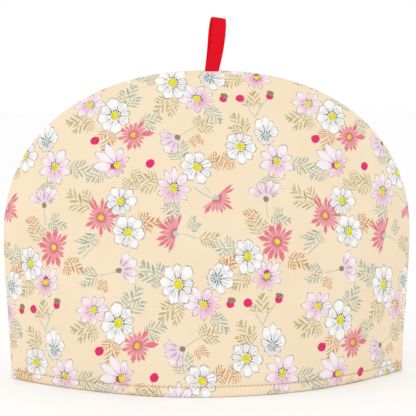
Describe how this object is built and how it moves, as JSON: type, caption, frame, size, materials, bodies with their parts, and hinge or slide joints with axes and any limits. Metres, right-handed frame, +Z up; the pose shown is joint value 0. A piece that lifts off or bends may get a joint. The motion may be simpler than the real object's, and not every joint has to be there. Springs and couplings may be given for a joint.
{
  "type": "tea cosy",
  "caption": "Padded dome-shaped cloth cover that slips over a teapot, with a ribbon loop at the top for lifting and hanging.",
  "frame": {"origin": "middle of the standing hem, on the surface it rests on, below the seam between the two panels", "axes": "+Z up, +X along the seam plane to the right of someone facing the front panel, -Y out of the front panel"},
  "size_m": [0.3, 0.1537, 0.2648],
  "materials": {
    "printed_cloth": "matt cotton print, cream peach with small flowers",
    "ribbon": "fine ribbed red ribbon with a soft sheen",
    "thread": "matt tan sewing thread"
  },
  "bodies": {
    "root": {"front_panel": "printed_cloth", "back_panel": "printed_cloth", "hanging_loop": "ribbon"}
  },
  "joints": []
}
